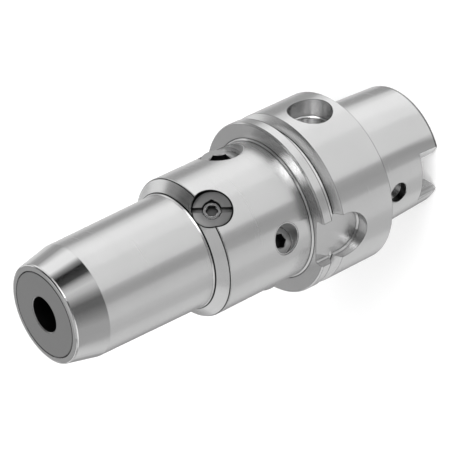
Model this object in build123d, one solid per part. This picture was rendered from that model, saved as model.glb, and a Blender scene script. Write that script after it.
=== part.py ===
from build123d import *
from math import radians, sqrt, tan
import os

# Hydraulic expansion chuck on a hollow taper shank, for a round tool shank.
# Millimetres. The axis of the chuck is Z with the nose upwards, and the origin
# is the centre of the gauge plane, where the flange meets the machine spindle.
# +X passes through the shallow flange keyway and one of the drive slots.

# Hollow taper shank
TAPER_DIA = 30.007             # taper diameter, measured TAPER_DEPTH below the gauge plane
TAPER_DEPTH = 4.0
TAPER_RATIO = 1 / 9.98         # loss of diameter for each millimetre of length
SHANK_LENGTH = 20.0
SHANK_END_EASE = 0.8           # eased edge, along each of its two sides
ROOT_RELIEF_WIDTH = 1.2
ROOT_RELIEF_DEPTH = 0.35

# Cavity of the shank, where the spindle's fingers pull
ENTRY_STEP_DIA = 25.5
ENTRY_STEP_DEPTH = 1.1
ENTRY_DIA = 21.0
ENTRY_CHAMFER = 0.4
RECESS_DIA = 23.0
PULL_SHOULDER_DEPTH = 12.5     # where the 30 degree shoulder starts, below the gauge plane
PULL_SHOULDER_ANGLE = 30.0
CAVITY_FLOOR_DEPTH = 3.5
COOLANT_THREAD_CORE = 10.92    # M12 x 1 for the coolant tube
COOLANT_THREAD_LENGTH = 9.0
COOLANT_THREAD_CHAMFER = 0.5
KEY_PASSAGE_DIA = 4.4

# Drive slots in the shank end, and the holes for the hand-clamping key
DRIVE_SLOT_WIDTH = 8.05
DRIVE_SLOT_LENGTH = 6.0
DRIVE_SLOT_MOUTH = 11.6        # width at the taper, where the flared edges run out
DRIVE_SLOT_FLARE = 1.3         # depth of the flare on the slot's walls
DRIVE_SLOT_LEAD = 1.0          # height of the bevel at the open end of the slot
DRIVE_SLOT_SPREAD = 1.4        # width of that bevel on each side
KEY_HOLE_DIA = 4.6
KEY_HOLE_DEPTH = 6.5           # below the gauge plane
KEY_HOLE_CHAMFER = 0.3

# Flange
FLANGE_DIA = 40.0
FLANGE_LENGTH = 20.0
FLANGE_EDGE = 0.35
GROOVE_CENTRE = 15.85          # height of the gripper groove above the gauge plane
GROOVE_TOP_WIDTH = 3.3
GROOVE_DEPTH = 2.1
GROOVE_ANGLE = 60.0
KEYWAY_END_HEIGHT = 7.9        # where the round ends of the keyways stop
SHALLOW_KEY_WIDTH = 11.0
SHALLOW_KEY_FLOOR = 17.0       # from the axis
DEEP_KEY_WIDTH = 9.0
DEEP_KEY_FLOOR = 12.0
DEEP_KEY_OVERRUN = 1.5         # how far the deep keyway runs into the body past the flange
KEYWAY_FLOOR_BEVEL = 0.4
CHIP_HOLE_DIA = 10.0           # pocket for a tool data chip
CHIP_HOLE_DEPTH = 4.9
CHIP_HOLE_HEIGHT = 6.9
CHIP_HOLE_FLOOR_BEVEL = 0.3

# Body, shoulder and nose
BODY_DIA = 32.0
BODY_LENGTH = 23.0
BODY_EDGE = 0.2
BODY_ROOT_BEVEL = 0.4
SHOULDER_LENGTH = 2.2
SHOULDER_FOOT_BEVEL = 0.35
NOSE_FOOT_DIA = 26.2
NOSE_DIA = 25.4
PROJECTION = 80.0              # gauge plane to the front face
CONE_LENGTH = 7.45
CONE_FRONT_DIA = 22.2
FACE_EASE = 0.5                # eased edge, along each of its two sides

# Expansion sleeve, brazed into the nose
TOOL_DIA = 8.0
TOOL_DEPTH = 37.0
TOOL_MOUTH_CHAMFER = 0.2
SLEEVE_DIA = 13.6
COLLAR_DIA = 19.3
COLLAR_LENGTH = 3.0
JOINT_GROOVE = 0.15            # fine bevel on both edges of the brazed joint in the front face
MEMBRANE = 1.4                 # thin wall that the oil presses onto the tool
CHAMBER_LENGTH = 8.5
CHAMBER_SETBACK = 6.5          # front face to the first chamber
CHAMBER_LAND = 6.0
LINK_NOTCH_DIA = 1.2

# Clamping unit: slotted bush, captive screw, piston and seal on one leaning axis
UNIT_AZIMUTH = 60.0
UNIT_LEAN = 20.0               # degrees towards the nose
UNIT_HEIGHT = 40.7             # centre of the bush's outer face
UNIT_RADIUS = 14.3
BUSH_DIA = 8.7
BUSH_WEB = 2.2
BUSH_LENGTH = 4.6
BUSH_EDGE = 0.25
BUSH_SLOT_WIDTH = 1.1
BUSH_SLOT_DEPTH = 0.9
BUSH_SLOT_TURN = 32.0          # from the nose direction
SCREW_HEAD_DIA = 4.0
SCREW_SETBACK = 0.5
SCREW_COLLAR_DIA = 4.4
SCREW_COLLAR_LENGTH = 1.0
SCREW_SPIGOT_DIA = 2.5
SCREW_PITCH = 0.45
SCREW_TURNS = 2
SCREW_SOCKET = 2.5             # across flats
SCREW_SOCKET_DEPTH = 1.6
SCREW_SOCKET_TURN = 4.0
PISTON_DIA = 6.0
PISTON_FLATS = 4.6
PISTON_LENGTH = 3.4
PISTON_HEAD = 0.7
SEAL_WIDTH = 1.0
SEAL_DEPTH = 0.6
OIL_GAP = 0.2                  # left under the piston when it is fully in
OIL_DUCT_DIA = 1.2
RUNNING_GAP = 0.05             # radial clearance of everything that slides or turns

# Length stop behind the tool
STOP_DIA = 6.0
STOP_TRAVEL = 10.0
STOP_GRIP = 10.0               # thread still engaged with the stop fully forward
STOP_SOCKET = 3.0
STOP_SOCKET_DEPTH = 3.0
STOP_COOLANT_DIA = 1.5
STOP_EDGE = 0.5
STOP_REAR_ROOM = 1.0

# Balancing screws: a large and a small pair, in bores that pass beside the chuck's axis
PAIR_AZIMUTHS = (0, 180)       # a pair's two screws lie opposite each other
BALANCE_HEIGHT = 27.15
LARGE_AZIMUTH = 89.0           # direction of the bore's own axis
LARGE_OFFSET = 6.2             # how far that axis passes from the chuck's axis
LARGE_DIA = 10.0               # M10 x 1, drawn plain
LARGE_FACE = 12.35             # the screw's outer face, along the bore from its middle
LARGE_LENGTH = 5.0
LARGE_EDGE = 1.1
LARGE_SOCKET = 5.0
LARGE_SOCKET_TURN = 30.0
SMALL_AZIMUTH = 38.6
SMALL_OFFSET = -7.04
SMALL_DIA = 6.56               # M7 x 1, drawn plain
SMALL_FACE = 11.3
SMALL_LENGTH = 5.0
SMALL_EDGE = 0.85
SMALL_SOCKET = 3.0
SMALL_SOCKET_TURN = 34.5
SET_SCREW_SOCKET_DEPTH = 2.5

# Oil filling hole on the side away from the clamping unit
FILL_DIA = 5.0
FILL_HEIGHT = 38.0
FILL_SCREW_LENGTH = 3.0
FILL_SCREW_EDGE = 0.25
FILL_SCREW_SOCKET = 2.5
FILL_SCREW_SOCKET_DEPTH = 1.5
FILL_SETBACK = 0.6             # screw face below the body's surface
BALL_DIA = 3.0
BALL_GAP = 0.1
BALL_SEAT_DIA = 2.0
SEAT_BORE_DEPTH = 1.2          # metal left between the ball's feed bore and the sleeve
DUCT_BITE = 0.25               # how far the oil duct reaches up into that feed bore

# How far every cutter runs past the faces that it opens, and how close two sizes count as equal
OVERCUT = 1.0
SAME = 1e-4

# Heights and radii worked out from the sizes above
BODY_TOP = FLANGE_LENGTH + BODY_LENGTH
SHOULDER_TOP = BODY_TOP + SHOULDER_LENGTH
CONE_FOOT = PROJECTION - CONE_LENGTH
SLEEVE_FOOT = PROJECTION - TOOL_DEPTH
FIRST_CHAMBER_TOP = PROJECTION - CHAMBER_SETBACK
SECOND_CHAMBER_TOP = FIRST_CHAMBER_TOP - CHAMBER_LENGTH - CHAMBER_LAND
SECOND_CHAMBER_FOOT = SECOND_CHAMBER_TOP - CHAMBER_LENGTH
MEMBRANE_RADIUS = TOOL_DIA / 2 + MEMBRANE
STOP_LENGTH = STOP_TRAVEL + STOP_GRIP
STOP_FOOT = SLEEVE_FOOT - STOP_LENGTH
STOP_BORE_FOOT = STOP_FOOT - STOP_REAR_ROOM
COOLANT_THREAD_TOP = COOLANT_THREAD_LENGTH - CAVITY_FLOOR_DEPTH
PISTON_TRAVEL = SCREW_PITCH * SCREW_TURNS
SCREW_COLLAR_TOP = BUSH_WEB + RUNNING_GAP
SCREW_COLLAR_END = SCREW_COLLAR_TOP + SCREW_COLLAR_LENGTH
PISTON_TOP = SCREW_COLLAR_END + RUNNING_GAP
PISTON_SHOULDER = BUSH_LENGTH + RUNNING_GAP
PISTON_END = PISTON_TOP + PISTON_LENGTH
UNIT_DEPTH = PISTON_END + PISTON_TRAVEL + OIL_GAP
SPIGOT_END = PISTON_END - PISTON_HEAD - RUNNING_GAP
SEAL_START = PISTON_END - PISTON_HEAD - SEAL_WIDTH
FILL_SEAT = BODY_DIA / 2 - FILL_SETBACK - FILL_SCREW_LENGTH


def taper_radius(height):
    """Radius of the shank's taper at a height, which is negative below the gauge plane."""
    return TAPER_DIA / 2 + (height + TAPER_DEPTH) * TAPER_RATIO / 2


def turned(*profile):
    """Solid turned about Z from (radius, height) corners."""
    with BuildPart() as part:
        with BuildSketch(Plane.XZ):
            with BuildLine():
                Polyline(*profile, close=True)
            make_face()
        revolve(axis=Axis.Z)
    return part.part


def rod(radius, start, end, edge=0.0):
    """Plain cylinder along Z, with an optional bevel at its far end."""
    if not edge:
        return turned((0, start), (radius, start), (radius, end), (0, end))
    return turned((0, start), (radius, start), (radius, end - edge), (radius - edge, end), (0, end))


def hexagon(across_flats, start, end, turn=0.0):
    """Hexagonal prism along Z, turned about it by some degrees."""
    with BuildPart() as part:
        with BuildSketch(Plane.XY.offset(start)):
            RegularPolygon(radius=across_flats / 2, side_count=6, major_radius=False, rotation=turn)
        extrude(amount=end - start)
    return part.part


def eased(before, corner, after, size):
    """Corner of a profile drawn as three flats in place of a round, as (radius, height) points."""
    middle = Vector(*corner)
    start = middle + (Vector(*before) - middle).normalized() * size
    end = middle + (Vector(*after) - middle).normalized() * size
    shares = (0, 1 / 3, 2 / 3, 1)
    points = [start * (1 - t) ** 2 + middle * (2 * t * (1 - t)) + end * t ** 2 for t in shares]
    return [(point.X, point.Y) for point in points]


def rings(part, radius, height):
    """Circular edges of a turned part at a radius and a height."""
    return [
        edge for edge in part.edges().filter_by(GeomType.CIRCLE)
        if abs(edge.radius - radius) < SAME and abs(edge.center(CenterOf.BOUNDING_BOX).Z - height) < SAME
    ]


def outward(azimuth, height, offset=0.0):
    """Location whose Z points outwards at an azimuth, on a line that passes the axis at an offset."""
    return Pos(0, 0, height) * Rot(0, 0, azimuth) * Pos(0, offset, 0) * Rot(0, 90, 0)


def unit_location():
    """Location of the clamping unit: Z points inwards from the centre of the bush's face."""
    return Rot(0, 0, UNIT_AZIMUTH) * Pos(UNIT_RADIUS, 0, UNIT_HEIGHT) * Rot(0, -90 - UNIT_LEAN, 0)


def turned_blank():
    """The chuck's outside and its bores, before anything is milled."""
    foot = -SHANK_LENGTH
    root = taper_radius(0)
    shoulder_run = (RECESS_DIA - ENTRY_DIA) / 2 / tan(radians(PULL_SHOULDER_ANGLE))
    shank_end = (taper_radius(foot), foot)
    cone_foot = (NOSE_DIA / 2, CONE_FOOT)
    face_rim = (CONE_FRONT_DIA / 2, PROJECTION)
    outside = turned(
        (0, foot),
        *eased((0, foot), shank_end, (root, 0), SHANK_END_EASE),
        (root, 0),
        (FLANGE_DIA / 2, 0),
        (FLANGE_DIA / 2, FLANGE_LENGTH),
        (BODY_DIA / 2, FLANGE_LENGTH),
        (BODY_DIA / 2, BODY_TOP),
        (NOSE_FOOT_DIA / 2, SHOULDER_TOP),
        cone_foot,
        *eased(cone_foot, face_rim, (0, PROJECTION), FACE_EASE),
        (0, PROJECTION),
    )
    outside = chamfer(rings(outside, FLANGE_DIA / 2, 0), FLANGE_EDGE)
    outside = chamfer(rings(outside, FLANGE_DIA / 2, FLANGE_LENGTH), FLANGE_EDGE)
    outside = chamfer(rings(outside, BODY_DIA / 2, FLANGE_LENGTH), BODY_ROOT_BEVEL)
    outside = chamfer(rings(outside, BODY_DIA / 2, BODY_TOP), BODY_EDGE)
    outside = chamfer(rings(outside, NOSE_FOOT_DIA / 2, SHOULDER_TOP), SHOULDER_FOOT_BEVEL)

    cavity = turned(
        (0, foot),
        (ENTRY_STEP_DIA / 2, foot),
        (ENTRY_STEP_DIA / 2, foot + ENTRY_STEP_DEPTH),
        (ENTRY_DIA / 2 + ENTRY_CHAMFER, foot + ENTRY_STEP_DEPTH),
        (ENTRY_DIA / 2, foot + ENTRY_STEP_DEPTH + ENTRY_CHAMFER),
        (ENTRY_DIA / 2, -PULL_SHOULDER_DEPTH),
        (RECESS_DIA / 2, shoulder_run - PULL_SHOULDER_DEPTH),
        (RECESS_DIA / 2, -CAVITY_FLOOR_DEPTH),
        (COOLANT_THREAD_CORE / 2 + COOLANT_THREAD_CHAMFER, -CAVITY_FLOOR_DEPTH),
        (COOLANT_THREAD_CORE / 2, COOLANT_THREAD_CHAMFER - CAVITY_FLOOR_DEPTH),
        (COOLANT_THREAD_CORE / 2, COOLANT_THREAD_TOP),
        (KEY_PASSAGE_DIA / 2, COOLANT_THREAD_TOP),
        (KEY_PASSAGE_DIA / 2, STOP_BORE_FOOT),
        (STOP_DIA / 2 + RUNNING_GAP, STOP_BORE_FOOT),
        (STOP_DIA / 2 + RUNNING_GAP, SLEEVE_FOOT),
        (SLEEVE_DIA / 2, SLEEVE_FOOT),
        (SLEEVE_DIA / 2, PROJECTION - COLLAR_LENGTH),
        (COLLAR_DIA / 2, PROJECTION - COLLAR_LENGTH),
        (COLLAR_DIA / 2, PROJECTION - JOINT_GROOVE),
        (COLLAR_DIA / 2 + JOINT_GROOVE, PROJECTION),
        (0, PROJECTION),
    )
    relief = turned(
        (root - ROOT_RELIEF_DEPTH, -ROOT_RELIEF_WIDTH),
        (FLANGE_DIA / 2, -ROOT_RELIEF_WIDTH),
        (root + ROOT_RELIEF_DEPTH, 0),
        (root, ROOT_RELIEF_DEPTH),
        (root - ROOT_RELIEF_DEPTH, ROOT_RELIEF_DEPTH),
    )
    return outside - cavity - relief


def gripper_groove():
    """V groove round the flange, with a narrow flat bottom."""
    half_top = GROOVE_TOP_WIDTH / 2
    half_bottom = half_top - GROOVE_DEPTH * tan(radians(GROOVE_ANGLE / 2))
    half_over = half_top + OVERCUT * tan(radians(GROOVE_ANGLE / 2))
    return turned(
        (FLANGE_DIA / 2 - GROOVE_DEPTH, GROOVE_CENTRE - half_bottom),
        (FLANGE_DIA / 2 + OVERCUT, GROOVE_CENTRE - half_over),
        (FLANGE_DIA / 2 + OVERCUT, GROOVE_CENTRE + half_over),
        (FLANGE_DIA / 2 - GROOVE_DEPTH, GROOVE_CENTRE + half_bottom),
    )


def keyway(width, floor, azimuth):
    """Round-ended keyway, open to the front of the flange, cut down to a flat floor."""
    end_centre = KEYWAY_END_HEIGHT + width / 2
    length = FLANGE_LENGTH - end_centre + OVERCUT
    with BuildPart() as part:
        with BuildSketch(Plane.YZ.offset(floor)):
            with Locations((0, end_centre)):
                Circle(width / 2)
            with Locations((0, end_centre + length / 2)):
                Rectangle(width, length)
        extrude(amount=FLANGE_DIA / 2 - floor + OVERCUT)
        chamfer(part.edges().group_by(Axis.X)[0], KEYWAY_FLOOR_BEVEL)
    return Rot(0, 0, azimuth) * part.part


def deep_pocket(azimuth):
    """Lower part of the deep keyway, which the cutter carries a little way into the body."""
    low = KEYWAY_END_HEIGHT + DEEP_KEY_WIDTH / 2
    high = FLANGE_LENGTH + DEEP_KEY_OVERRUN - DEEP_KEY_WIDTH / 2
    with BuildPart() as part:
        with BuildSketch(Plane.YZ.offset(DEEP_KEY_FLOOR)):
            for height in (low, high):
                with Locations((0, height)):
                    Circle(DEEP_KEY_WIDTH / 2)
            with Locations((0, (low + high) / 2)):
                Rectangle(DEEP_KEY_WIDTH, high - low)
        extrude(amount=FLANGE_DIA / 2 - DEEP_KEY_FLOOR + OVERCUT)
        chamfer(part.edges().group_by(Axis.X)[0], KEYWAY_FLOOR_BEVEL)
    return Rot(0, 0, azimuth) * part.part


def drive_slot(azimuth):
    """Slot through the shank's wall at its end, flared at the taper and at its open end."""
    half = DRIVE_SLOT_WIDTH / 2
    mouth_half = DRIVE_SLOT_MOUTH / 2
    reach = taper_radius(-SHANK_LENGTH)
    flare_start = sqrt(reach ** 2 - half ** 2) - DRIVE_SLOT_FLARE
    flare_end = sqrt(reach ** 2 - mouth_half ** 2)
    far = TAPER_DIA / 2 + OVERCUT
    far_half = half + (mouth_half - half) * (far - flare_start) / (flare_end - flare_start)
    with BuildPart() as slot:
        with BuildSketch(Plane.XY.offset(-SHANK_LENGTH - OVERCUT)):
            with BuildLine():
                Polyline(
                    (0, -half),
                    (flare_start, -half),
                    (far, -far_half),
                    (far, far_half),
                    (flare_start, half),
                    (0, half),
                    close=True,
                )
            make_face()
        extrude(amount=DRIVE_SLOT_LENGTH + OVERCUT)
    spread_half = half + DRIVE_SLOT_SPREAD
    with BuildPart() as lead:
        with BuildSketch(Plane.YZ):
            with BuildLine():
                Polyline(
                    (-spread_half, -SHANK_LENGTH - OVERCUT),
                    (spread_half, -SHANK_LENGTH - OVERCUT),
                    (spread_half, -SHANK_LENGTH),
                    (half, DRIVE_SLOT_LEAD - SHANK_LENGTH),
                    (-half, DRIVE_SLOT_LEAD - SHANK_LENGTH),
                    (-spread_half, -SHANK_LENGTH),
                    close=True,
                )
            make_face()
        extrude(amount=far)
    return Rot(0, 0, azimuth) * (slot.part + lead.part)


def key_hole(azimuth):
    """Cross hole with a bevelled mouth, for the key of a hand-clamped spindle."""
    surface = taper_radius(-KEY_HOLE_DEPTH)
    hole = rod(KEY_HOLE_DIA / 2, 0, surface + OVERCUT)
    mouth = turned(
        (0, surface - KEY_HOLE_CHAMFER - KEY_HOLE_DIA / 2),
        (KEY_HOLE_DIA / 2 + KEY_HOLE_CHAMFER + OVERCUT, surface + OVERCUT),
        (0, surface + OVERCUT),
    )
    return outward(azimuth, -KEY_HOLE_DEPTH) * (hole + mouth)


def chip_pocket(azimuth):
    """Round pocket in the flange for a data chip, with a bevel all round its floor."""
    floor = FLANGE_DIA / 2 - CHIP_HOLE_DEPTH
    pocket = turned(
        (0, floor),
        (CHIP_HOLE_DIA / 2 - CHIP_HOLE_FLOOR_BEVEL, floor),
        (CHIP_HOLE_DIA / 2, floor + CHIP_HOLE_FLOOR_BEVEL),
        (CHIP_HOLE_DIA / 2, FLANGE_DIA / 2 + OVERCUT),
        (0, FLANGE_DIA / 2 + OVERCUT),
    )
    return outward(azimuth, CHIP_HOLE_HEIGHT) * pocket


def balance_bore(location, diameter, foot):
    """Blind threaded bore for one balancing screw."""
    return location * rod(diameter / 2, foot, BODY_DIA / 2 + OVERCUT)


def large_places():
    """Locations of the two large balancing screws, along their bores."""
    return [outward(LARGE_AZIMUTH + azimuth, BALANCE_HEIGHT, LARGE_OFFSET) for azimuth in PAIR_AZIMUTHS]


def small_places():
    """Locations of the two small balancing screws, along their bores."""
    return [outward(SMALL_AZIMUTH + azimuth, BALANCE_HEIGHT, SMALL_OFFSET) for azimuth in PAIR_AZIMUTHS]


def clamping_bore():
    """Stepped bore for the clamping unit, with the bush's seat at the step."""
    return unit_location() * turned(
        (0, -UNIT_RADIUS),
        (BUSH_DIA / 2, -UNIT_RADIUS),
        (BUSH_DIA / 2, BUSH_LENGTH),
        (PISTON_DIA / 2, BUSH_LENGTH),
        (PISTON_DIA / 2, UNIT_DEPTH),
        (0, UNIT_DEPTH),
    )


def filling_bore():
    """Stepped radial bore for the sealing ball and its screw."""
    seat_rise = sqrt((BALL_DIA / 2) ** 2 - (BALL_SEAT_DIA / 2) ** 2)
    ball_floor = FILL_SEAT - BALL_DIA / 2 - seat_rise
    bore = turned(
        (0, SLEEVE_DIA / 2 + SEAT_BORE_DEPTH),
        (BALL_SEAT_DIA / 2, SLEEVE_DIA / 2 + SEAT_BORE_DEPTH),
        (BALL_SEAT_DIA / 2, ball_floor),
        (BALL_DIA / 2 + BALL_GAP, ball_floor),
        (BALL_DIA / 2 + BALL_GAP, FILL_SEAT),
        (FILL_DIA / 2, FILL_SEAT),
        (FILL_DIA / 2, BODY_DIA / 2 + OVERCUT),
        (0, BODY_DIA / 2 + OVERCUT),
    )
    return outward(UNIT_AZIMUTH + 180, FILL_HEIGHT) * bore


def oil_duct(azimuth, radius, height):
    """Slanting duct from a pocket at a radius and height up to the rear oil chamber."""
    chamber_height = SECOND_CHAMBER_FOOT + OIL_DUCT_DIA
    chamber_radius = SLEEVE_DIA / 2 - OIL_DUCT_DIA / 4
    path = Vector(chamber_radius - radius, 0, chamber_height - height)
    start = Plane(origin=(radius, 0, height), z_dir=path)
    return Rot(0, 0, azimuth) * start.location * rod(OIL_DUCT_DIA / 2, 0, path.length)


def make_chuck_body():
    """The one-piece steel body: shank, flange, body and nose."""
    body = turned_blank() - gripper_groove()
    body -= keyway(SHALLOW_KEY_WIDTH, SHALLOW_KEY_FLOOR, 0)
    body -= keyway(DEEP_KEY_WIDTH, BODY_DIA / 2 + BODY_ROOT_BEVEL, 180)
    body -= deep_pocket(180)
    body -= chip_pocket(90)
    for azimuth in (0, 180):
        body -= drive_slot(azimuth)
        body -= key_hole(azimuth)
    for place in large_places():
        body -= balance_bore(place, LARGE_DIA, LARGE_FACE - LARGE_LENGTH)
    for place in small_places():
        body -= balance_bore(place, SMALL_DIA, SMALL_FACE - SMALL_LENGTH)
    body -= clamping_bore()
    piston_pocket = unit_location() * Pos(0, 0, UNIT_DEPTH - OIL_DUCT_DIA)
    pocket_radius = sqrt(piston_pocket.position.X ** 2 + piston_pocket.position.Y ** 2)
    body -= oil_duct(UNIT_AZIMUTH, pocket_radius, piston_pocket.position.Z)
    body -= filling_bore()
    feed_radius = SLEEVE_DIA / 2 + SEAT_BORE_DEPTH + DUCT_BITE
    body -= oil_duct(UNIT_AZIMUTH + 180, feed_radius, FILL_HEIGHT)
    return body


def make_expansion_sleeve():
    """Sleeve whose two thin stretches close on the tool under oil pressure."""
    sleeve = turned(
        (TOOL_DIA / 2, SLEEVE_FOOT),
        (SLEEVE_DIA / 2, SLEEVE_FOOT),
        (SLEEVE_DIA / 2, SECOND_CHAMBER_FOOT),
        (MEMBRANE_RADIUS, SECOND_CHAMBER_FOOT),
        (MEMBRANE_RADIUS, SECOND_CHAMBER_TOP),
        (SLEEVE_DIA / 2, SECOND_CHAMBER_TOP),
        (SLEEVE_DIA / 2, SECOND_CHAMBER_TOP + CHAMBER_LAND),
        (MEMBRANE_RADIUS, SECOND_CHAMBER_TOP + CHAMBER_LAND),
        (MEMBRANE_RADIUS, FIRST_CHAMBER_TOP),
        (SLEEVE_DIA / 2, FIRST_CHAMBER_TOP),
        (SLEEVE_DIA / 2, PROJECTION - COLLAR_LENGTH),
        (COLLAR_DIA / 2, PROJECTION - COLLAR_LENGTH),
        (COLLAR_DIA / 2, PROJECTION - JOINT_GROOVE),
        (COLLAR_DIA / 2 - JOINT_GROOVE, PROJECTION),
        (TOOL_DIA / 2 + TOOL_MOUTH_CHAMFER, PROJECTION),
        (TOOL_DIA / 2, PROJECTION - TOOL_MOUTH_CHAMFER),
    )
    notch_foot = SECOND_CHAMBER_TOP - OVERCUT
    notch = rod(LINK_NOTCH_DIA / 2, notch_foot, SECOND_CHAMBER_TOP + CHAMBER_LAND + OVERCUT)
    for azimuth in (UNIT_AZIMUTH, UNIT_AZIMUTH + 180):
        sleeve -= Rot(0, 0, azimuth) * Pos(SLEEVE_DIA / 2, 0, 0) * notch
    return sleeve


def make_clamping_bush():
    """Slotted bush that holds the screw in and guides the piston's flats."""
    bush = rod(BUSH_DIA / 2, 0, BUSH_LENGTH)
    bush = chamfer(rings(bush, BUSH_DIA / 2, 0), BUSH_EDGE)
    slot = Box(BUSH_DIA * 2, BUSH_SLOT_WIDTH, BUSH_SLOT_DEPTH * 2)
    bush -= Rot(0, 0, BUSH_SLOT_TURN) * slot
    bush -= rod(SCREW_HEAD_DIA / 2 + RUNNING_GAP, -OVERCUT, BUSH_WEB + OVERCUT)
    with BuildPart() as guide:
        with BuildSketch(Plane.XY.offset(BUSH_WEB)):
            Circle(PISTON_DIA / 2 - RUNNING_GAP)
            Rectangle(PISTON_DIA, PISTON_FLATS, mode=Mode.INTERSECT)
        extrude(amount=BUSH_LENGTH)
    return unit_location() * (bush - guide.part)


def make_clamping_screw():
    """Captive screw: head in the bush, collar under its web, threaded spigot in the piston."""
    screw = turned(
        (0, SCREW_SETBACK),
        (SCREW_HEAD_DIA / 2, SCREW_SETBACK),
        (SCREW_HEAD_DIA / 2, SCREW_COLLAR_TOP),
        (SCREW_COLLAR_DIA / 2, SCREW_COLLAR_TOP),
        (SCREW_COLLAR_DIA / 2, SCREW_COLLAR_END),
        (SCREW_SPIGOT_DIA / 2, SCREW_COLLAR_END),
        (SCREW_SPIGOT_DIA / 2, SPIGOT_END),
        (0, SPIGOT_END),
    )
    socket_end = SCREW_SETBACK + SCREW_SOCKET_DEPTH
    screw -= hexagon(SCREW_SOCKET, SCREW_SETBACK - OVERCUT, socket_end, SCREW_SOCKET_TURN)
    return unit_location() * screw


def make_pressure_piston():
    """Piston with a flatted tail, a blind threaded hole and a groove for its seal."""
    radius = PISTON_DIA / 2 - RUNNING_GAP
    with BuildPart() as tail:
        with BuildSketch(Plane.XY.offset(PISTON_TOP)):
            Circle(radius - RUNNING_GAP)
            Rectangle(PISTON_DIA, PISTON_FLATS - 2 * RUNNING_GAP, mode=Mode.INTERSECT)
        extrude(amount=PISTON_SHOULDER - PISTON_TOP)
    piston = tail.part + rod(radius, PISTON_SHOULDER, PISTON_END)
    piston -= rod(SCREW_SPIGOT_DIA / 2 + RUNNING_GAP, PISTON_TOP - OVERCUT, PISTON_END - PISTON_HEAD)
    groove = rod(PISTON_DIA, SEAL_START, SEAL_START + SEAL_WIDTH)
    piston -= groove - rod(radius - SEAL_DEPTH, SEAL_START, SEAL_START + SEAL_WIDTH)
    return unit_location() * piston


def make_piston_seal():
    """Rubber ring in the piston's groove."""
    ring = turned(
        (PISTON_DIA / 2 - RUNNING_GAP - SEAL_DEPTH, SEAL_START),
        (PISTON_DIA / 2 - RUNNING_GAP, SEAL_START),
        (PISTON_DIA / 2 - RUNNING_GAP, SEAL_START + SEAL_WIDTH),
        (PISTON_DIA / 2 - RUNNING_GAP - SEAL_DEPTH, SEAL_START + SEAL_WIDTH),
    )
    return unit_location() * ring


def make_length_stop():
    """Long stop screw behind the tool, set from the rear and bored for coolant."""
    stop = turned(
        (0, STOP_FOOT),
        (STOP_DIA / 2 - STOP_EDGE, STOP_FOOT),
        (STOP_DIA / 2, STOP_FOOT + STOP_EDGE),
        (STOP_DIA / 2, SLEEVE_FOOT - STOP_EDGE),
        (STOP_DIA / 2 - STOP_EDGE, SLEEVE_FOOT),
        (0, SLEEVE_FOOT),
    )
    stop -= rod(STOP_COOLANT_DIA / 2, STOP_FOOT - OVERCUT, SLEEVE_FOOT + OVERCUT)
    return stop - hexagon(STOP_SOCKET, STOP_FOOT - OVERCUT, STOP_FOOT + STOP_SOCKET_DEPTH)


def set_screw(diameter, length, edge, socket, socket_depth, turn=0.0):
    """Headless screw standing on Z = 0 with its hexagon socket at the top."""
    screw = rod(diameter / 2, 0, length, edge)
    return screw - hexagon(socket, length - socket_depth, length + OVERCUT, turn)


def screw_pair(places, foot, screw):
    """The two screws of a pair, as separate solids of one node."""
    return Compound(children=[place * Pos(0, 0, foot) * screw for place in places])


def make_large_balancing_screws():
    """The two large balancing screws, each at the bottom of its bore."""
    screw = set_screw(
        LARGE_DIA, LARGE_LENGTH, LARGE_EDGE, LARGE_SOCKET, SET_SCREW_SOCKET_DEPTH, LARGE_SOCKET_TURN)
    return screw_pair(large_places(), LARGE_FACE - LARGE_LENGTH, screw)


def make_small_balancing_screws():
    """The two small balancing screws, set the same way."""
    screw = set_screw(
        SMALL_DIA, SMALL_LENGTH, SMALL_EDGE, SMALL_SOCKET, SET_SCREW_SOCKET_DEPTH, SMALL_SOCKET_TURN)
    return screw_pair(small_places(), SMALL_FACE - SMALL_LENGTH, screw)


def make_fill_screw():
    """Screw that presses the sealing ball onto its seat."""
    screw = set_screw(
        FILL_DIA, FILL_SCREW_LENGTH, FILL_SCREW_EDGE, FILL_SCREW_SOCKET, FILL_SCREW_SOCKET_DEPTH)
    return outward(UNIT_AZIMUTH + 180, FILL_HEIGHT) * Pos(0, 0, FILL_SEAT) * screw


def make_sealing_ball():
    """Steel ball that closes the oil filling hole."""
    return outward(UNIT_AZIMUTH + 180, FILL_HEIGHT) * Pos(0, 0, FILL_SEAT - BALL_DIA / 2) * Sphere(BALL_DIA / 2)


PIECES = {
    "chuck_body": make_chuck_body,
    "expansion_sleeve": make_expansion_sleeve,
    "clamping_bush": make_clamping_bush,
    "clamping_screw": make_clamping_screw,
    "pressure_piston": make_pressure_piston,
    "piston_seal": make_piston_seal,
    "length_stop": make_length_stop,
    "large_balancing_screws": make_large_balancing_screws,
    "small_balancing_screws": make_small_balancing_screws,
    "fill_screw": make_fill_screw,
    "sealing_ball": make_sealing_ball,
}

os.makedirs("parts", exist_ok=True)
for name, make in PIECES.items():
    export_step(make(), f"parts/{name}.step")
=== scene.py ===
from math import cos, radians, sin

import bmesh
import bpy
from mathutils import Matrix, Vector


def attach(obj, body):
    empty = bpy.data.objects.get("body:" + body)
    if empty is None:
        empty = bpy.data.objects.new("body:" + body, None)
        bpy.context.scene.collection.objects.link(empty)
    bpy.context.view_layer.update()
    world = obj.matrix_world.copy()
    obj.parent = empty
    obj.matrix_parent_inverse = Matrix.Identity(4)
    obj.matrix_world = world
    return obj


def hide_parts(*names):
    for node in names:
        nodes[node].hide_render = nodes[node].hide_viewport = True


MM = 0.001

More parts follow.
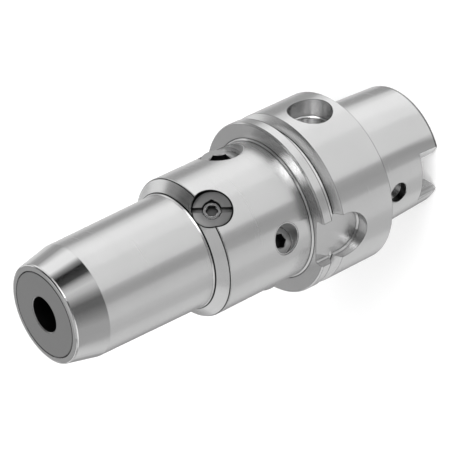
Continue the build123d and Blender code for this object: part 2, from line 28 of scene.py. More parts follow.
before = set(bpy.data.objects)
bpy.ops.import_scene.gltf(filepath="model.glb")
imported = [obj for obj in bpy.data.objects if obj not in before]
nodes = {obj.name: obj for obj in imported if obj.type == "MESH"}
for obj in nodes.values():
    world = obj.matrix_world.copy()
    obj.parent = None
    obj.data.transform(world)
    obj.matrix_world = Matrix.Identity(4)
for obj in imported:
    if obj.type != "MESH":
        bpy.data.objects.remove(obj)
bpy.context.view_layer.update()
bpy.ops.object.select_all(action="DESELECT")

# Lengths are in millimetres and angles in degrees, unless a line says otherwise.

# Camera of the photograph, in the part's frame
CAMERA_PLACE = (340.848, 303.684, 313.199)
CAMERA_FORWARD = (-0.635661, -0.565201, -0.525816)
CAMERA_UP = (-0.427367, 0.824886, -0.370026)
CAMERA_LENS = 198.14
CAMERA_SENSOR = 36.0
CAMERA_NEAR = 0.01              # metres
CAMERA_AZIMUTH = 41.7

# Heights and radii of the chuck that materials, pieces and cards are fitted to
FLOOR_HEIGHT = -20.0
BODY_RADIUS = 16.0
BODY_FOOT = 20.3
BODY_TOP = 42.0
SHANK_END_RADIUS = 14.2
CONE_FOOT = 72.55
MIDDLE_HEIGHT = 30.0

# Hole across the shank: its height, and where the painted shade inside starts and is full
KEY_HOLE_HEIGHT = -6.5
KEY_HOLE_EDGE = 2.38
KEY_HOLE_INSIDE = 2.33
KEY_HOLE_MOUTH = 13.0           # from the chuck's middle

# Drive slots, whose walls get painted shade: just under the taper's surface, and above the slots
SLOT_WALL_RADIUS = 14.12
SLOT_WALL_TOP = -12.0

# Bore for the tool, painted dark as its shade: just over its radius, and below its bright mouth
TOOL_BORE_RADIUS = 4.1
TOOL_BORE_TOP = 79.8

# Painted shade: sharp edges and corners that get a thin dark line: radius, height, half width
PAINTED_EDGE_LINES = [
    (15.86, 43.08, 0.13), (13.37, 45.04, 0.17), (17.92, 15.42, 0.12), (17.92, 16.28, 0.12),
    (19.97, 17.5, 0.13), (16.45, 20.0, 0.07), (16.0, 20.45, 0.07), (19.92, 0.15, 0.12),
    (14.22, -19.4, 0.12)]
EDGE_SHADE = "1c1c1c"
# Painted highlight on the gripper groove's floor: radius, height, half width, and its tone
GROOVE_FLOOR = (17.9, 15.85, 0.36)
GROOVE_HIGHLIGHT = "f4f4f4"
JOINT_LINE = (9.65, 79.95, 0.12)
JOINT_SHADE = "505050"
LINE_BLUR = 0.04
EDGE_BREAK = 0.12               # reach of the painted line along a sharp edge

# Painted shade: a dark ring in the fit gap round the clamping bush
FIT_SHADE = "060606"
FIT_BLUR = 0.03
FIT_DEPTH = 5.0

# Balancing bores: direction of each one's axis, and how far that passes from the chuck's axis
BALANCE_HEIGHT = 27.15
LARGE_AZIMUTH = 89.0
LARGE_OFFSET = 6.2
SMALL_AZIMUTH = 38.6
SMALL_OFFSET = -7.04
THREAD_PITCH = 1.0
SET_SCREW_LENGTH = 5.0
SET_SCREW_THREAD = 0.3          # depth of the thread
SET_SCREW_LAND = 0.6            # smooth end at the face
SET_SCREW_BEVEL = 0.15
SET_SCREW_SOCKET = 2.5          # depth of the hexagon
BORE_THREAD = 0.15
BORE_THREAD_TURNS = 2.2

# Clamping unit: its line, and the bush turned about it
UNIT_AZIMUTH = 60.0
UNIT_RADIUS = 14.3
UNIT_HEIGHT = 40.7
UNIT_LEAN = 20.0
# UNIT_SHIFT moves the painted shade ring round the bush off the unit's line.
UNIT_SHIFT = (0.126, -0.11, -0.034)
BUSH_TURN = 32.0
BUSH_RADIUS = 4.35
BUSH_LENGTH = 4.6
BUSH_BEVEL = 0.2
BUSH_SLOT = (20, 1.1, 1.8)
BUSH_BORE_RADIUS = 2.05
BUSH_BORE_DEPTH = 2.3
NOTCH_RADIUS = 0.6
NOTCH_DEPTH = 1.2
NOTCH_PLACE = 1.72
MOUTH_REACH = 2.6               # the bevel of the bore's mouth and notch is inside this radius
MOUTH_BEVEL = 0.1
GUIDE_RADIUS = 2.95
GUIDE_START = 2.2
GUIDE_END = 5.6
GUIDE_FLATS = (8, 4.6, 10)
GUIDE_MIDDLE = 3.0

# Clamping screw: depths of its steps below the bush's outer face, their radii and its hexagon
SCREW_FACE = 0.5
HEAD_END = 2.25
COLLAR_END = 3.25
SPIGOT_END = 5.95
HEAD_RADIUS = 1.9
COLLAR_RADIUS = 2.2
SPIGOT_RADIUS = 1.25
HEAD_BEVEL = 0.2
SCREW_FLATS = 2.35
SCREW_TURN = -4.0
SCREW_SOCKET = 1.6

SOCKET_BEVEL = 0.08             # how far the bevelled mouth of a hexagon passes its corners
SOCKET_MOUTH = 0.2
SMOOTH_ANGLE = 20.0
NEAR = 0.01                     # two points closer than this lie in one plane


def bore_place(azimuth, offset):
    """Place of a balancing bore: Z points outwards along it, from its middle."""
    return (Matrix.Translation((0, 0, BALANCE_HEIGHT * MM))
            @ Matrix.Rotation(radians(azimuth), 4, "Z")
            @ Matrix.Translation((0, offset * MM, 0))
            @ Matrix.Rotation(radians(90), 4, "Y"))


def unit_place():
    """Place of the clamping unit: Z points inwards from the middle of the bush's outer face."""
    return (Matrix.Rotation(radians(UNIT_AZIMUTH), 4, "Z")
            @ Matrix.Translation((UNIT_RADIUS * MM, 0, UNIT_HEIGHT * MM))
            @ Matrix.Rotation(radians(-90 - UNIT_LEAN), 4, "Y"))


def linear(colour):
    """Linear RGBA of an sRGB hex colour."""
    parts = [int(colour[i:i + 2], 16) / 255 for i in (0, 2, 4)]
    return [p / 12.92 if p <= 0.04045 else ((p + 0.055) / 1.055) ** 2.4 for p in parts] + [1.0]


def add(tree, kind, settings=None, inputs=None):
    """Node of a kind with its settings, and its inputs set to a value or linked to a socket."""
    node = tree.nodes.new(kind)
    for key, value in (settings or {}).items():
        setattr(node, key, value)
    for key, value in (inputs or {}).items():
        if isinstance(value, bpy.types.NodeSocket):
            tree.links.new(value, node.inputs[key])
        else:
            node.inputs[key].default_value = value
    return node


def maths(tree, operation, *values):
    """Result of a maths node."""
    node = add(tree, "ShaderNodeMath", {"operation": operation}, dict(enumerate(values)))
    return node.outputs[0]


def ramp(tree, value, start, end):
    """Share that goes from 0 where the value is at the start to 1 where it is at the end."""
    return add(tree, "ShaderNodeMapRange", inputs={
        "Value": value, "From Min": start, "From Max": end}).outputs[0]


def blend(tree, share, first, second):
    """Colour that goes from the first to the second as the share goes from 0 to 1."""
    return add(tree, "ShaderNodeMix", {"data_type": "RGBA"}, {
        "Factor": share, "A": first, "B": second}).outputs["Result"]


def round_axis(tree, place):
    """Distance of each point from the Z axis, and its height."""
    xyz = add(tree, "ShaderNodeSeparateXYZ", inputs={0: place})
    flat = add(tree, "ShaderNodeCombineXYZ", inputs={
        "X": xyz.outputs["X"], "Y": xyz.outputs["Y"]})
    reach = add(tree, "ShaderNodeVectorMath", {"operation": "LENGTH"}, {0: flat.outputs[0]})
    return reach.outputs["Value"], xyz.outputs["Z"]


def material(name):
    """Empty node material and its tree."""
    made = bpy.data.materials.new(name)
    made.use_nodes = True
    made.node_tree.nodes.clear()
    return made, made.node_tree


def paint(obj, made):
    """Gives an object this material in place of its own."""
    if not obj.material_slots:
        obj.data.materials.append(None)
    obj.material_slots[0].link = "OBJECT"
    obj.material_slots[0].material = made


def painted_shade_and_edges(tree, colour, reach, shade, painted_edge_tone):
    """Colour with painted shade, darker in corners and pockets, and a painted line along sharp
    edges, dark or bright as the material gives it, where the edge break is too narrow to mirror
    much."""
    hollow = add(tree, "ShaderNodeAmbientOcclusion", {"samples": 8}, {"Distance": reach * MM})
    open_share = ramp(tree, hollow.outputs["AO"], 0.2, 0.75)
    corner_shaded = blend(tree, open_share, linear(shade), colour)
    rounded = add(tree, "ShaderNodeBevel", {"samples": 6}, {"Radius": EDGE_BREAK * MM})
    facing = add(tree, "ShaderNodeNewGeometry")
    match = add(tree, "ShaderNodeVectorMath", {"operation": "DOT_PRODUCT"}, {
        0: rounded.outputs[0], 1: facing.outputs["Normal"]})
    flat_share = ramp(tree, match.outputs["Value"], 0.975, 0.9995)
    return blend(tree, flat_share, linear(painted_edge_tone), corner_shaded)


def ring_line(tree, place, colour, ring, shade):
    """Colour with a line round the axis: ring is its radius, its height and its half width. The
    calls use it for painted dark lines at edges, a painted highlight on the groove's floor and
    the sleeve's dark joint.
    """
    radius, height, half_width = ring
    reach, level = round_axis(tree, place)
    profile = add(tree, "ShaderNodeCombineXYZ", inputs={"X": reach, "Z": level})
    away = add(tree, "ShaderNodeVectorMath", {"operation": "DISTANCE"}, {
        0: profile.outputs[0], 1: (radius * MM, 0, height * MM)})
    share = ramp(tree, away.outputs["Value"],
                 (half_width + LINE_BLUR) * MM, (half_width - LINE_BLUR) * MM)
    return blend(tree, share, colour, linear(shade))


def bush_gap_shade(tree, place, colour, inner, outer):
    """Colour with a dark ring round the clamping bush: painted shade in its fit gap in the body.
    """
    turn = unit_place().to_euler()
    spot = unit_place().translation + Vector(UNIT_SHIFT) * MM
    local = add(tree, "ShaderNodeMapping", {"vector_type": "TEXTURE"}, {
        "Vector": place, "Location": tuple(spot), "Rotation": tuple(turn)})
    reach, depth = round_axis(tree, local.outputs[0])
    within = ramp(tree, reach, (inner - FIT_BLUR) * MM, (inner + FIT_BLUR) * MM)
    without = ramp(tree, reach, (outer + FIT_BLUR) * MM, (outer - FIT_BLUR) * MM)
    outside = maths(tree, "LESS_THAN", depth, FIT_DEPTH * MM)
    ring = maths(tree, "MULTIPLY", within, without)
    ring = maths(tree, "MULTIPLY", ring, outside)
    return blend(tree, ring, colour, linear(FIT_SHADE))


def tool_bore_shade(tree, place, colour):
    """Colour that is painted dark as shade in the bore for the tool, below its bright mouth."""
    reach, height = round_axis(tree, place)
    inside = maths(tree, "LESS_THAN", reach, TOOL_BORE_RADIUS * MM)
    below = maths(tree, "LESS_THAN", height, TOOL_BORE_TOP * MM)
    return blend(tree, maths(tree, "MULTIPLY", inside, below), colour, linear("3a3a3a"))


def key_hole_shade(tree, place, colour):
    """Colour that is painted dark inside the hole across the shank, as its shade."""
    xyz = add(tree, "ShaderNodeSeparateXYZ", inputs={0: place})
    flat = add(tree, "ShaderNodeCombineXYZ", inputs={
        "Y": xyz.outputs["Y"], "Z": xyz.outputs["Z"]})
    away = add(tree, "ShaderNodeVectorMath", {"operation": "DISTANCE"}, {
        0: flat.outputs[0], 1: (0, 0, KEY_HOLE_HEIGHT * MM)})
    near = ramp(tree, away.outputs["Value"], KEY_HOLE_EDGE * MM, KEY_HOLE_INSIDE * MM)
    across = maths(tree, "ABSOLUTE", xyz.outputs["X"])
    deep = maths(tree, "GREATER_THAN", across, KEY_HOLE_MOUTH * MM)
    return blend(tree, maths(tree, "MULTIPLY", near, deep), colour, linear("3c3c3c"))


def slot_wall_shade(tree, place, colour):
    """Colour that is greyer and striped on the milled walls of the drive slots, inside the
    shank's ground taper: painted shade of the slots, in stripes."""
    reach, height = round_axis(tree, place)
    within = maths(tree, "LESS_THAN", reach, SLOT_WALL_RADIUS * MM)
    low = maths(tree, "LESS_THAN", height, SLOT_WALL_TOP * MM)
    stripes = add(tree, "ShaderNodeTexNoise", {"noise_dimensions": "1D"}, {
        "W": reach, "Scale": 2500.0})
    walls = blend(tree, stripes.outputs["Fac"], linear("a0a0a0"), linear("d0d0d0"))
    return blend(tree, maths(tree, "MULTIPLY", within, low), colour, walls)


def ground_steel():
    """Case-hardened tool steel, finish-ground all round: satin, with fine marks round the axis
    that stretch highlights along it. The nose cone is polished and mirrors its surroundings."""
    made, tree = material("ground_tool_steel")
    place = add(tree, "ShaderNodeTexCoord").outputs["Object"]
    # Grinding marks are 0.05 mm apart on the real one, and drawn 0.3 mm apart to show.
    marks_place = add(tree, "ShaderNodeMapping", inputs={
        "Vector": place, "Scale": (40, 40, 3300)})
    marks = add(tree, "ShaderNodeTexNoise", inputs={
        "Vector": marks_place.outputs[0], "Scale": 1.0, "Detail": 2.0})
    clouds = add(tree, "ShaderNodeTexNoise", inputs={
        "Vector": place, "Scale": 90.0, "Detail": 3.0})
    height = add(tree, "ShaderNodeSeparateXYZ", inputs={0: place}).outputs["Z"]
    on_cone = maths(tree, "GREATER_THAN", height, CONE_FOOT * MM)
    satin = add(tree, "ShaderNodeMapRange", inputs={
        "Value": marks.outputs["Fac"], "To Min": 0.2, "To Max": 0.3})
    roughness = add(tree, "ShaderNodeMix", {"data_type": "FLOAT"}, {
        "Factor": on_cone, "A": satin.outputs[0], "B": 0.09})
    colour = blend(tree, clouds.outputs["Fac"], linear("dcdcdc"), linear("d3d3d3"))
    # Painted shade in corners and pockets, and a painted dark line along sharp edges.
    colour = painted_shade_and_edges(tree, colour, reach=2.2, shade="626262", painted_edge_tone="4c4c4c")
    # Painted highlight: the gripper groove's floor is made bright, between the painted dark
    # lines of its two corners.
    colour = ring_line(tree, place, colour, GROOVE_FLOOR, GROOVE_HIGHLIGHT)
    # Painted dark lines along the sharp edges and corners.
    for ring in PAINTED_EDGE_LINES:
        colour = ring_line(tree, place, colour, ring, EDGE_SHADE)
    colour = ring_line(tree, place, colour, JOINT_LINE, JOINT_SHADE)
    # Painted shade in the fit gap round the clamping bush.
    colour = bush_gap_shade(tree, place, colour, inner=4.2, outer=4.45)
    # Painted shade inside the hole across the shank.
    colour = key_hole_shade(tree, place, colour)
    # Painted shade on the drive slots' walls.
    colour = slot_wall_shade(tree, place, colour)
    bump = add(tree, "ShaderNodeBump", inputs={
        "Height": marks.outputs["Fac"], "Strength": 0.25, "Distance": 0.00001})
    tangent = add(tree, "ShaderNodeTangent", {"direction_type": "RADIAL", "axis": "Z"})
    shader = add(tree, "ShaderNodeBsdfPrincipled", inputs={
        "Base Color": colour,
        "Metallic": 1.0,
        "Roughness": roughness.outputs["Result"],
        "Anisotropic": 0.75,
        "Anisotropic Rotation": 0.25,
        "Normal": bump.outputs[0],
        "Tangent": tangent.outputs[0],
    })
    add(tree, "ShaderNodeOutputMaterial", inputs={"Surface": shader.outputs[0]})
    return made


def plain_steel(name, colour, roughness, shade="303030", painted_edge_tone="404040"):
    """Small steel part: clouds about 1 mm across in its gloss, painted shade in its corners and
    a painted line along its sharp edges, the painted shade of the bush's fit gap and of the tool
    bore, and the sleeve's dark joint line."""
    made, tree = material(name)
    place = add(tree, "ShaderNodeTexCoord").outputs["Object"]
    clouds = add(tree, "ShaderNodeTexNoise", inputs={
        "Vector": place, "Scale": 900.0, "Detail": 3.0})
    gloss = add(tree, "ShaderNodeMapRange", inputs={
        "Value": clouds.outputs["Fac"], "To Min": roughness - 0.04, "To Max": roughness + 0.04})
    shaded = painted_shade_and_edges(tree, linear(colour), reach=1.5, shade=shade, painted_edge_tone=painted_edge_tone)
    shaded = bush_gap_shade(tree, place, shaded, inner=4.22, outer=4.6)
    shaded = ring_line(tree, place, shaded, JOINT_LINE, JOINT_SHADE)
    shaded = tool_bore_shade(tree, place, shaded)
    shader = add(tree, "ShaderNodeBsdfPrincipled", inputs={
        "Base Color": shaded, "Metallic": 1.0, "Roughness": gloss.outputs[0]})
    add(tree, "ShaderNodeOutputMaterial", inputs={"Surface": shader.outputs[0]})
    return made


def seal_rubber():
    """Nitrile rubber, moulded: nearly black and dull, with a fine pebble of about 0.1 mm."""
    made, tree = material("nitrile_rubber")
    place = add(tree, "ShaderNodeTexCoord").outputs["Object"]
    pebble = add(tree, "ShaderNodeTexNoise", inputs={"Vector": place, "Scale": 9000.0})
    colour = blend(tree, pebble.outputs["Fac"], linear("161616"), linear("222222"))
    bump = add(tree, "ShaderNodeBump", inputs={
        "Height": pebble.outputs["Fac"], "Distance": 0.00002})
    shader = add(tree, "ShaderNodeBsdfPrincipled", inputs={
        "Base Color": colour, "Roughness": 0.6, "IOR": 1.52, "Normal": bump.outputs[0]})
    add(tree, "ShaderNodeOutputMaterial", inputs={"Surface": shader.outputs[0]})
    return made


STEEL = ground_steel()
# Alloy steel, fine-turned on the face: an even mid grey, with painted shade that makes it black
# inside the narrow bore.
SLEEVE_STEEL = plain_steel("turned_sleeve_steel", "a8a8a8", 0.35, "101010")
# Steel blackened in hot salts and wiped with oil: dull dark grey with soft reflections.
DARK_STEEL = plain_steel("blackened_steel", "787878", 0.4)
# Blackened socket screw, with painted highlights along its edges.
SCREW_STEEL = plain_steel("black_screw_steel_edge_highlight", "787878", 0.35, painted_edge_tone="e8e8e8")
# Bottom and flats of the clamping screw's hexagon: dark grey, painted as their shade.
HEXAGON_SHADE_STEEL = plain_steel("clamping_hexagon_shade", "585858", 0.45, "484848")
# Zinc-phosphated set screws: light grey and fine-grained, with painted highlights along their
# edges.
SET_SCREW_STEEL = plain_steel("phosphated_screw_steel", "a8a8a8", 0.35, "8a8a8a", "d0d0d0")
# Inside of a set screw's hexagon: dark grey, painted as its shade, and black where it is deep.
DEEP_SOCKET_SHADE = plain_steel("set_screw_hexagon_shade", "4a4a4a", 0.45, "4a4a4a")
# Bored and tapped wall in the body's own steel: satin, with painted highlights along the thread
# crests and the mouth.
BORE_STEEL = plain_steel("bored_steel", "dadada", 0.4, "c4c4c4", "ffffff")
# Turned and hardened steel of the parts inside: plain satin grey.
INNER_STEEL = plain_steel("turned_inner_steel", "b4b4b4", 0.3)
# Bearing ball, lapped to a mirror.
BALL_STEEL = plain_steel("lapped_ball_steel", "cccccc", 0.1)
RUBBER = seal_rubber()

for name, piece in nodes.items():
    paint(piece, STEEL if name == "chuck_body" else INNER_STEEL)
paint(nodes["expansion_sleeve"], SLEEVE_STEEL)
paint(nodes["clamping_bush"], DARK_STEEL)
paint(nodes["clamping_screw"], SCREW_STEEL)
paint(nodes["piston_seal"], RUBBER)
paint(nodes["sealing_ball"], BALL_STEEL)


def put_down():
    """Leaves edit mode, with nothing selected."""
    if bpy.context.mode != "OBJECT":
        bpy.ops.object.mode_set(mode="OBJECT")
    bpy.ops.object.select_all(action="DESELECT")


def take_up(piece):
    """Makes a piece the active one and the only one selected."""
    put_down()
    bpy.context.view_layer.objects.active = piece
    piece.select_set(True)


def cylinder(name, radius, start, end, sides=64, ends="NGON"):
    """Cylinder along Z between two heights, left in edit mode with nothing selected."""
    put_down()
    bpy.ops.mesh.primitive_cylinder_add(
        vertices=sides, radius=radius * MM, depth=(end - start) * MM, end_fill_type=ends,
        location=(0, 0, (start + end) / 2 * MM))
    made = bpy.context.object
    made.name = name
    bpy.ops.object.transform_apply()
    bpy.ops.object.mode_set(mode="EDIT")
    bpy.ops.mesh.select_all(action="DESELECT")
    return made


def box(name, size, middle, turn=0.0):
    """Box, left in object mode, for cutting with."""
    put_down()
    bpy.ops.mesh.primitive_cube_add(
        size=1, location=Vector(middle) * MM, rotation=(0, 0, radians(turn)))
    made = bpy.context.object
    made.name = name
    made.scale = Vector(size) * MM
    bpy.ops.object.transform_apply()
    return made


def pick(kind, wanted):
    """Selects, in edit mode, the edges whose two ends fit or the faces whose middle fits."""
    mesh = bmesh.from_edit_mesh(bpy.context.object.data)
    bpy.ops.mesh.select_all(action="DESELECT")
    if kind == "edges":
        bpy.ops.mesh.select_mode(type="EDGE")
        for edge in mesh.edges:
            if wanted(edge.verts[0].co / MM) and wanted(edge.verts[1].co / MM):
                edge.select_set(True)
    else:
        bpy.ops.mesh.select_mode(type="FACE")
        for face in mesh.faces:
            if wanted(face.calc_center_median() / MM):
                face.select_set(True)
    mesh.select_flush_mode()
    bmesh.update_edit_mesh(bpy.context.object.data)


def shrink(share, height):
    """Scales what is selected towards the Z axis at a height."""
    bpy.ops.transform.resize(
        value=(share, share, 1), center_override=(0, 0, height * MM))


def thread(radius, depth, start, end):
    """Cuts the wall of the cylinder being edited into rings and pulls every other one in."""
    half = THREAD_PITCH / 2
    rings = int((end - start) / THREAD_PITCH)
    for i in range(2 * rings):
        bpy.ops.mesh.select_all(action="SELECT")
        bpy.ops.mesh.bisect(plane_co=(0, 0, (start + (i + 0.5) * half) * MM), plane_no=(0, 0, 1))
    for i in range(0, 2 * rings, 2):
        height = start + (i + 0.5) * half
        pick("edges", lambda at: abs(at.z - height) < NEAR)
        shrink((radius - depth) / radius, height)


def cut(piece, cutter, operation="DIFFERENCE"):
    """Cuts a piece with another, which is then removed."""
    take_up(piece)
    step = piece.modifiers.new("cut", "BOOLEAN")
    step.operation = operation
    step.object = cutter
    bpy.ops.object.modifier_apply(modifier=step.name)
    bpy.data.objects.remove(cutter)


def socket(piece, flats, turn, face, depth, inside):
    """Cuts a hexagon socket with a bevelled mouth, and gives its inside its own material,
    painted darker as its shade.
    """
    corner = flats / 3 ** 0.5
    hexagon = cylinder("hexagon", corner, face - depth, face + 1, sides=6)
    bpy.ops.object.mode_set(mode="OBJECT")
    hexagon.data.transform(Matrix.Rotation(radians(turn), 4, "Z"))
    cut(piece, hexagon)
    foot = face - SOCKET_MOUTH
    mouth = cylinder("mouth", corner + SOCKET_BEVEL, foot, face + 0.1, sides=48)
    pick("faces", lambda at: at.z < foot + 0.05)
    shrink(0.85, foot)
    cut(piece, mouth)
    piece.data.materials.append(inside)
    for polygon in piece.data.polygons:
        at = polygon.center / MM
        if at.xy.length < corner and at.z < foot:
            polygon.material_index = 1


def finish_piece(piece, place, body):
    """Puts a piece in its place, smooths its round walls and hangs it on its body."""
    take_up(piece)
    piece.data.transform(place)
    bpy.ops.object.shade_smooth_by_angle(angle=radians(SMOOTH_ANGLE))
    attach(piece, body)


def set_screws(name, azimuth, offset, radius, face, flats, turn):
    """A pair of headless screws with threaded sides and hexagon sockets, opposite each other."""
    foot = face - SET_SCREW_LENGTH
    screw = cylinder(name, radius, foot, face)
    screw.data.materials.append(SET_SCREW_STEEL)
    thread(radius, SET_SCREW_THREAD, foot, face - SET_SCREW_LAND)
    pick("edges", lambda at: at.z > face - NEAR)
    bpy.ops.mesh.bevel(offset=SET_SCREW_BEVEL * MM, segments=2)
    socket(screw, flats, turn, face, SET_SCREW_SOCKET, DEEP_SOCKET_SHADE)
    other = screw.copy()
    other.data = screw.data.copy()
    bpy.context.scene.collection.objects.link(other)
    screw.data.transform(bore_place(azimuth, offset))
    other.data.transform(bore_place(azimuth + 180, offset))
    take_up(screw)
    other.select_set(True)
    bpy.ops.object.join()
    finish_piece(screw, Matrix.Identity(4), "holder")
    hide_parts(name)
    screw.name = name + "_detailed"


def bore_thread(name, azimuth, offset, radius, core, start, end):
    """Wall of a balancing bore, whose thread ends where the open part is bored smooth."""
    wall = cylinder(name, core, start, end, sides=96, ends="NOTHING")
    thread(core, BORE_THREAD, start, start + BORE_THREAD_TURNS * THREAD_PITCH)
    bpy.ops.object.mode_set(mode="OBJECT")
    step = wall.modifiers.new("wall", "SOLIDIFY")
    step.thickness = (radius + 0.05 - core) * MM
    step.offset = 1
    bpy.ops.object.modifier_apply(modifier=step.name)
    wall.data.transform(bore_place(azimuth, offset))
    body = cylinder("body", BODY_RADIUS - 0.1, BODY_FOOT, BODY_TOP, sides=128)
    cut(wall, body, "INTERSECT")
    paint(wall, BORE_STEEL)
    finish_piece(wall, Matrix.Identity(4), "holder")


def clamping_bush():
    """Threaded-in bush: bevelled rim, driver slot, bore for the screw's head with a notch, and
    the guide for the piston's flats."""
    bush = cylinder("bush", BUSH_RADIUS, 0, BUSH_LENGTH, sides=96)
    bush.data.materials.append(DARK_STEEL)
    pick("edges", lambda at: at.z < NEAR)
    bpy.ops.mesh.bevel(offset=BUSH_BEVEL * MM, segments=3)
    cut(bush, box("slot", BUSH_SLOT, (0, 0, 0), BUSH_TURN))
    cut(bush, cylinder("bore", BUSH_BORE_RADIUS, -1, BUSH_BORE_DEPTH))
    notch = cylinder("notch", NOTCH_RADIUS, -1, NOTCH_DEPTH, sides=32)
    bpy.ops.object.mode_set(mode="OBJECT")
    notch.matrix_world = (Matrix.Rotation(radians(BUSH_TURN + 90), 4, "Z")
                          @ Matrix.Translation((NOTCH_PLACE * MM, 0, 0)))
    bpy.ops.object.transform_apply()
    cut(bush, notch)
    bpy.ops.object.mode_set(mode="EDIT")
    pick("edges", lambda at: at.z < NEAR and at.xy.length < MOUTH_REACH)
    bpy.ops.mesh.bevel(offset=MOUTH_BEVEL * MM, segments=2)
    guide = cylinder("guide", GUIDE_RADIUS, GUIDE_START, GUIDE_END)
    cut(guide, box("flats", GUIDE_FLATS, (0, 0, GUIDE_MIDDLE)), "INTERSECT")
    cut(bush, guide)
    finish_piece(bush, unit_place(), "holder")
    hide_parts("clamping_bush")
    bush.name = "clamping_bush_detailed"


def lowest(piece):
    """Height of the lowest corner of the piece being edited."""
    return min(v.co.z for v in bmesh.from_edit_mesh(piece.data).verts) / MM


def widest_low(piece):
    """Radius of the lowest corners of the piece being edited."""
    mesh = bmesh.from_edit_mesh(piece.data)
    foot = lowest(piece)
    return max(v.co.xy.length for v in mesh.verts if v.co.z / MM < foot + 0.001) / MM


def clamping_screw():
    """Captive screw with its collar, spigot and hexagon socket, lying as the CAD one does."""
    screw = cylinder("screw", HEAD_RADIUS, -HEAD_END, -SCREW_FACE)
    screw.data.materials.append(SCREW_STEEL)
    pick("edges", lambda at: at.z > -SCREW_FACE - NEAR)
    bpy.ops.mesh.bevel(offset=HEAD_BEVEL * MM, segments=2)
    steps = ((COLLAR_RADIUS, COLLAR_END - HEAD_END), (SPIGOT_RADIUS, SPIGOT_END - COLLAR_END))
    for radius, reach in steps:
        pick("faces", lambda at: at.z < lowest(screw) + NEAR)
        bpy.ops.mesh.extrude_region_move()
        shrink(radius / widest_low(screw), lowest(screw))
        bpy.ops.mesh.extrude_region_move(
            TRANSFORM_OT_translate={"value": (0, 0, -reach * MM)})
    socket(screw, SCREW_FLATS, SCREW_TURN, -SCREW_FACE, SCREW_SOCKET, HEXAGON_SHADE_STEEL)
    outwards = unit_place() @ Matrix.Rotation(radians(180), 4, "X")
    finish_piece(screw, outwards, "clamping_screw")
    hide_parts("clamping_screw")
    screw.name = "clamping_screw_detailed"


set_screws("large_balancing_screws", LARGE_AZIMUTH, LARGE_OFFSET,
           radius=4.6, face=12.35, flats=5.0, turn=0.0)
set_screws("small_balancing_screws", SMALL_AZIMUTH, SMALL_OFFSET,
           radius=2.9, face=11.3, flats=3.0, turn=14.0)
for side in (0, 180):
    bore_thread("large_bore_thread_%d" % side, LARGE_AZIMUTH + side, LARGE_OFFSET,
                radius=5.0, core=4.8, start=12.0, end=16.0)
    bore_thread("small_bore_thread_%d" % side, SMALL_AZIMUTH + side, SMALL_OFFSET,
                radius=3.28, core=3.1, start=11.0, end=15.9)
clamping_bush()
clamping_screw()

# Studio: cards that only the metal mirrors, a white floor, a white world and two lamps
CARD_REACH = 500
WALL_TOP = 95
SKY_ROWS = 6
SKY_COLUMNS = 12
FLOOR_SIZE = 6.0                # metres
FLOOR_GLOW = 0.4
LAMP_SIZE = 0.8                 # metres


def direction(azimuth):
    """Unit vector in the plane of the floor."""
    return Vector((cos(radians(azimuth)), sin(radians(azimuth)), 0))


def card_look():
    """Glow of a studio card, as strong as the card's own tone at each point."""
    made, tree = material("card_glow")
    tone = add(tree, "ShaderNodeAttribute", {"attribute_name": "tone"})
    glow = add(tree, "ShaderNodeEmission", inputs={
        "Color": (1, 1, 1, 1), "Strength": tone.outputs["Fac"]})
    add(tree, "ShaderNodeOutputMaterial", inputs={"Surface": glow.outputs[0]})
    return made


CARD_LOOK = card_look()


def card(name, rows, tones):
    """Studio card that only shows in what the metal mirrors: rows of points, with a tone for
    each column."""
    columns = len(tones)
    corners = [point * MM for row in rows for point in row]
    faces = []
    for start in range(0, len(corners) - columns, columns):
        for i in range(start, start + columns - 1):
            faces.append((i, i + 1, i + columns + 1, i + columns))
    mesh = bpy.data.meshes.new(name)
    mesh.from_pydata(corners, [], faces)
    tone = mesh.attributes.new("tone", "FLOAT", "POINT")
    for i, value in enumerate(tones * len(rows)):
        tone.data[i].value = value
    mesh.materials.append(CARD_LOOK)
    made = bpy.data.objects.new(name, mesh)
    bpy.context.scene.collection.objects.link(made)
    made.visible_camera = False
    made.visible_diffuse = False
    made.visible_shadow = False


def mirrored(azimuth):
    """Where the camera's line goes after a wall that faces an azimuth has mirrored it."""
    return direction(2 * azimuth - CAMERA_AZIMUTH) * CARD_REACH


def floor_card(stops):
    """Card on the floor that the chuck's upright walls mirror, with a tone at each azimuth of
    the wall."""
    foot = Vector((0, 0, FLOOR_HEIGHT + 0.3))
    inner = [direction(azimuth) * SHANK_END_RADIUS + foot for azimuth, tone in stops]
    outer = [point + mirrored(azimuth) for point, (azimuth, tone) in zip(inner, stops)]
    card("floor_card", [inner, outer], [tone for azimuth, tone in stops])


def wall_card(stops):
    """Low wall round the chuck that the nose cone mirrors, with a tone at each azimuth of the
    cone."""
    rows = []
    for height in (FLOOR_HEIGHT, WALL_TOP):
        rows.append([mirrored(azimuth) + Vector((0, 0, height)) for azimuth, tone in stops])
    card("wall_card", rows, [tone for azimuth, tone in stops])


def sky_card(name, azimuths, elevations, tone, reach):
    """Card overhead: a patch of a ball round the chuck, between two azimuths and two
    elevations."""
    rows = []
    for i in range(SKY_ROWS + 1):
        rise = radians(elevations[0] + (elevations[1] - elevations[0]) * i / SKY_ROWS)
        row = []
        for j in range(SKY_COLUMNS + 1):
            azimuth = azimuths[0] + (azimuths[1] - azimuths[0]) * j / SKY_COLUMNS
            row.append(direction(azimuth) * cos(rise) * reach
                       + Vector((0, 0, sin(rise) * reach)))
        rows.append(row)
    card(name, rows, [tone] * (SKY_COLUMNS + 1))


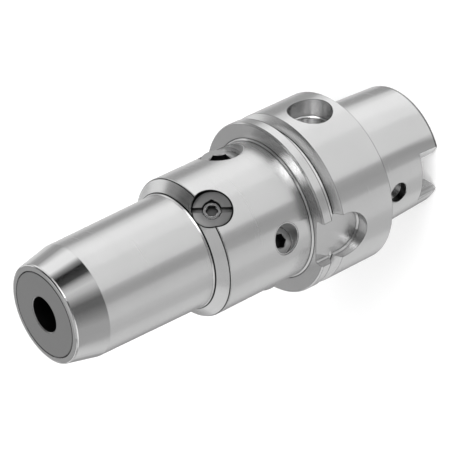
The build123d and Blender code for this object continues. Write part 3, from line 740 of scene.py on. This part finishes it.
floor_card([
    (-60, 0.33), (-37, 0.35), (-31, 0.62), (-25, 0.74), (-18, 0.75), (-9, 0.6), (1, 0.61),
    (7, 0.74), (16, 0.72), (24, 0.46), (30, 0.41), (38, 0.86), (56, 0.86), (62, 1.02),
    (76, 1.14), (87, 1.14), (91, 0.92), (98, 0.42), (106, 0.42), (113, 0.72), (121, 0.8),
    (126, 0.95), (132, 1.0)])
wall_card([
    (-50, 0.3), (-42, 0.35), (-30, 0.68), (-22, 0.65), (-14, 0.45), (12, 0.44), (20, 0.29),
    (29, 0.15), (35, 0.14), (40, 0.32), (45, 0.6), (50, 0.76), (55, 0.52), (60, 0.05),
    (68, 0.0), (73, 0.35), (78, 1.1), (97, 1.2), (102, 0.7), (109, 0.4), (118, 0.55),
    (132, 0.7)])

# Azimuths, elevations, tone and distance of each card overhead; a nearer one hides a farther
sky_card("sky_base", (-160, 160), (14, 90), 0.64, 1500)
sky_card("sky_back", (160, 200), (30, 90), 0.6, 1500)
sky_card("sky_pale", (-104, -30), (14, 44), 0.82, 1400)
sky_card("sky_dark", (60, 160), (42, 72), 0.04, 1400)
sky_card("sky_dark_side", (104, 166), (14, 44), 0.22, 1380)
sky_card("sky_dark_front", (-10, 46), (14, 56), 0.05, 1380)
sky_card("sky_flat", (-160, -106), (22, 45), 0.41, 1400)
sky_card("sky_dim", (-110, -66), (46, 62), 0.3, 1300)
sky_card("sky_dim_top", (-160, -60), (62, 80), 0.3, 1350)
sky_card("sky_rim", (-34, 66), (12, 19), 1.2, 1250)
sky_card("sky_lamp", (54, 104), (20, 38), 2.6, 1300)
sky_card("sky_lamp_core", (67, 90), (24, 37), 5.6, 1280)


def seen_directly(tree):
    """1 for the camera's own rays and those that the metal mirrors or that pass a surface, 0
    for the light that falls on things."""
    path = add(tree, "ShaderNodeLightPath")
    seen = maths(tree, "MAXIMUM", path.outputs["Is Camera Ray"], path.outputs["Is Glossy Ray"])
    return maths(tree, "MAXIMUM", seen, path.outputs["Is Transmission Ray"])


# Floor: white to the camera and in the metal, with the chuck's own soft shadow
bpy.ops.mesh.primitive_plane_add(size=FLOOR_SIZE, location=(0, 0, FLOOR_HEIGHT * MM))
floor = bpy.context.object
floor.name = "floor"
floor_look, tree = material("pale_floor")
paper = add(tree, "ShaderNodeBsdfDiffuse", inputs={"Color": linear("d8d8d8")})
lift = maths(tree, "MULTIPLY", seen_directly(tree), FLOOR_GLOW)
glow = add(tree, "ShaderNodeEmission", inputs={"Color": (1, 1, 1, 1), "Strength": lift})
both = add(tree, "ShaderNodeAddShader", inputs={0: paper.outputs[0], 1: glow.outputs[0]})
add(tree, "ShaderNodeOutputMaterial", inputs={"Surface": both.outputs[0]})
floor.data.materials.append(floor_look)

# World: white to the camera and in the metal, and half as strong as a light
world = bpy.data.worlds.new("studio")
bpy.context.scene.world = world
world.use_nodes = True
tree = world.node_tree
tree.nodes.clear()
level = add(tree, "ShaderNodeMapRange", inputs={
    "Value": seen_directly(tree), "To Min": 0.5, "To Max": 1.0})
sky = add(tree, "ShaderNodeBackground", inputs={
    "Color": (1, 1, 1, 1), "Strength": level.outputs[0]})
add(tree, "ShaderNodeOutputWorld", inputs={"Surface": sky.outputs[0]})


def softbox(name, place, power):
    """Square area lamp that faces the chuck and that the metal doesn't mirror."""
    lamp = bpy.data.lights.new(name, "AREA")
    lamp.shape = "SQUARE"
    lamp.size = LAMP_SIZE
    lamp.energy = power
    made = bpy.data.objects.new(name, lamp)
    bpy.context.scene.collection.objects.link(made)
    made.location = Vector(place) * MM
    made.visible_glossy = False
    towards = Vector((0, 0, MIDDLE_HEIGHT)) * MM - made.location
    made.rotation_euler = towards.to_track_quat("-Z", "Y").to_euler()


softbox("key_lamp", (300, 900, 900), 14)
softbox("fill_lamp", (900, -300, 700), 7)

camera_data = bpy.data.cameras.new("camera")
camera_data.lens = CAMERA_LENS
camera_data.sensor_width = CAMERA_SENSOR
camera_data.clip_start = CAMERA_NEAR
camera = bpy.data.objects.new("camera", camera_data)
bpy.context.scene.collection.objects.link(camera)
forward = Vector(CAMERA_FORWARD).normalized()
up = Vector(CAMERA_UP)
up = (up - forward * up.dot(forward)).normalized()
turn = Matrix((forward.cross(up), up, -forward)).transposed()
camera.matrix_world = Matrix.Translation(Vector(CAMERA_PLACE) * MM) @ turn.to_4x4()
bpy.context.scene.camera = camera

bpy.context.scene.view_settings.view_transform = "Standard"
